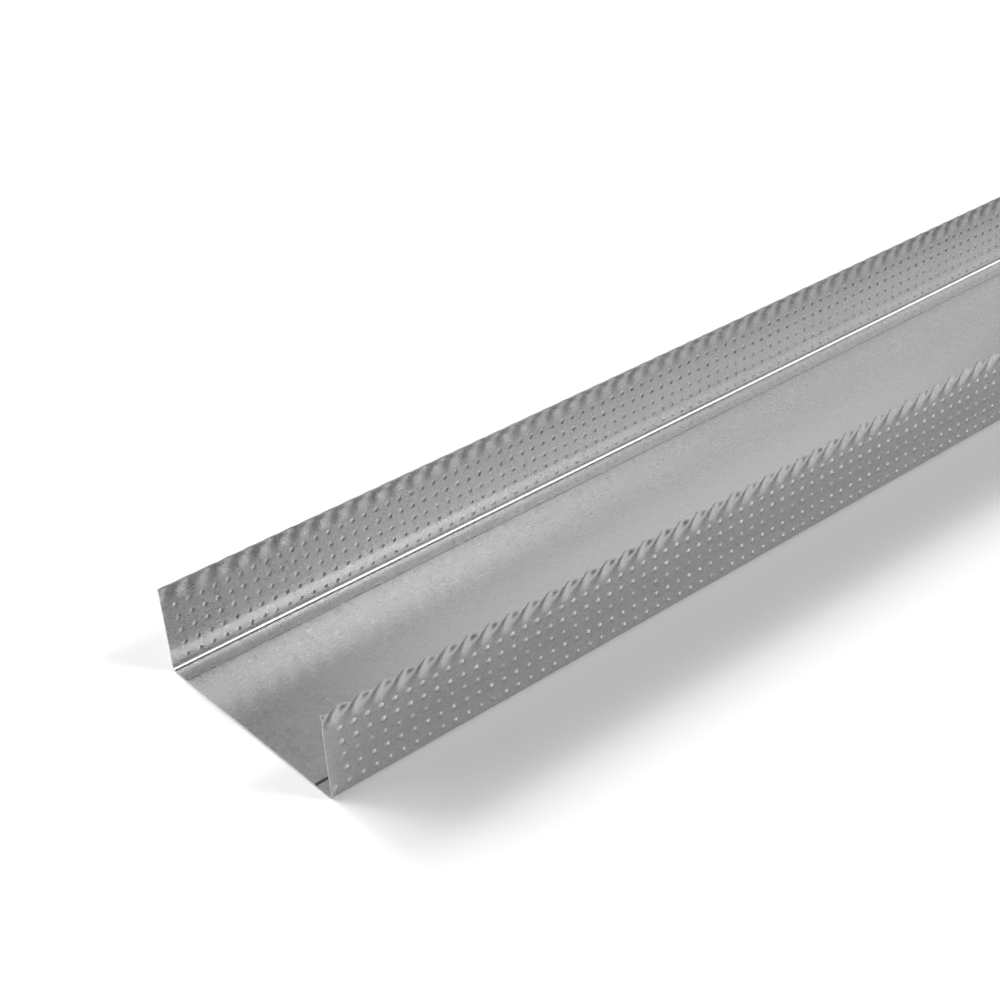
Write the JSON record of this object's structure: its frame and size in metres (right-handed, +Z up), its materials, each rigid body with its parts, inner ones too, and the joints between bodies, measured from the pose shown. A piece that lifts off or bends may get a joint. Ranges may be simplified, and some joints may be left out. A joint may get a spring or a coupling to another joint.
{
  "type": "drywall metal stud track",
  "caption": "Shallow galvanised steel channel with two knurled flanges and rippled free edges, the floor and ceiling track that holds the studs of a drywall partition.",
  "frame": {"origin": "middle of the underside, on the level that the two bends rest on", "axes": "X along the length, Y across the web, Z up towards the free edges of the flanges"},
  "size_m": [2.4384, 0.0952, 0.0325],
  "materials": {
    "galvanised_steel": "satin"
  },
  "bodies": {
    "root": {"stud_track": "galvanised_steel"}
  },
  "joints": []
}
